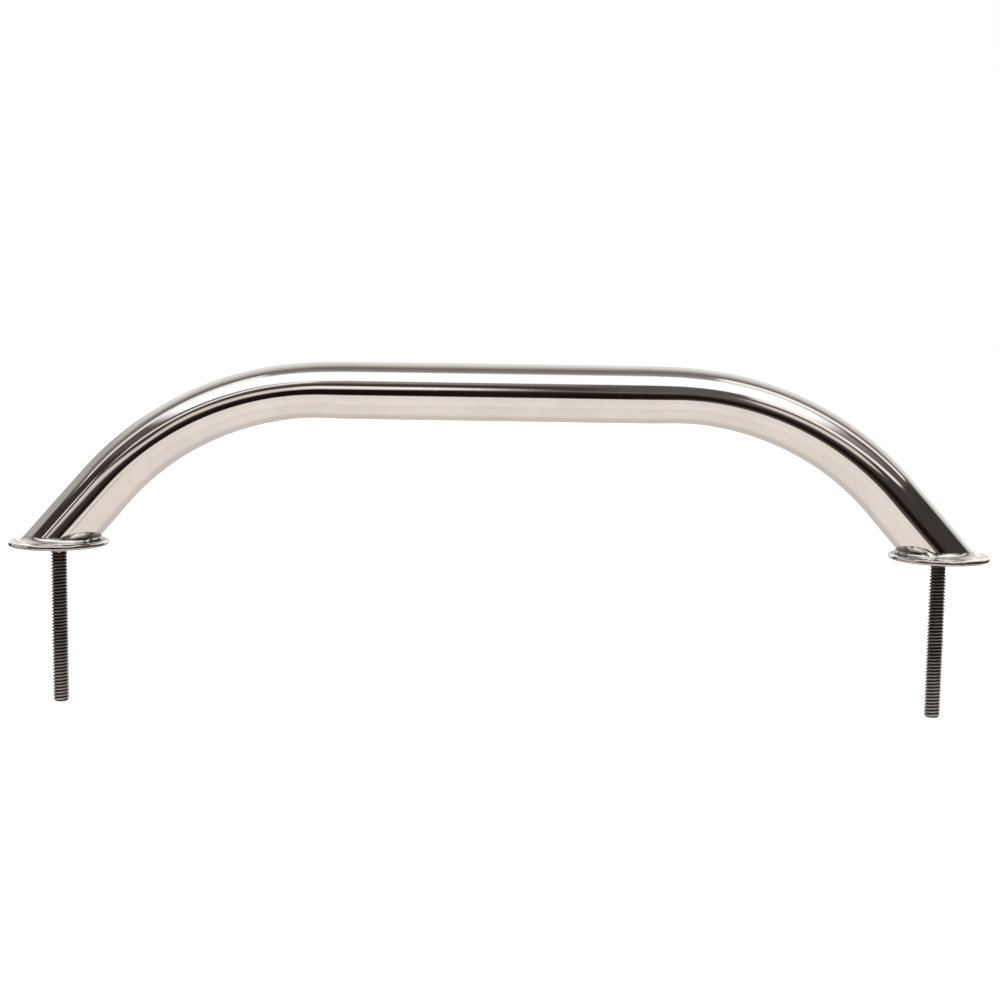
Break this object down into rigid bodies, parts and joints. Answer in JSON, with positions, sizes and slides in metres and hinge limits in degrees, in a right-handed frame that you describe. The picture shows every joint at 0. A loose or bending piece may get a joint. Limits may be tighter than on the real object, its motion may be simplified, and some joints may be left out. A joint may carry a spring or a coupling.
{
  "type": "grab rail",
  "caption": "Low arched boat grab rail of polished tube on round bases, each with a threaded stud for fastening through a deck.",
  "frame": {"origin": "midway between the two studs, on the mounting face under the bases", "axes": "+X along the rail, +Z from the deck towards the rail, studs pointing along -Z"},
  "size_m": [0.3726, 0.0374, 0.1325],
  "materials": {
    "polished_tube": "polished",
    "polished_base": "polished",
    "polished_weld": "gloss",
    "stud_steel": "satin",
    "raw_weld": "satin"
  },
  "bodies": {
    "root": {"rail_tube": "polished_tube", "left_base": "polished_base", "right_base": "polished_base", "left_foot_weld": "polished_weld", "right_foot_weld": "polished_weld", "left_stud": "stud_steel", "right_stud": "stud_steel", "left_under_weld": "raw_weld", "right_under_weld": "raw_weld", "left_inner_weld": "raw_weld", "right_inner_weld": "raw_weld"}
  },
  "joints": []
}
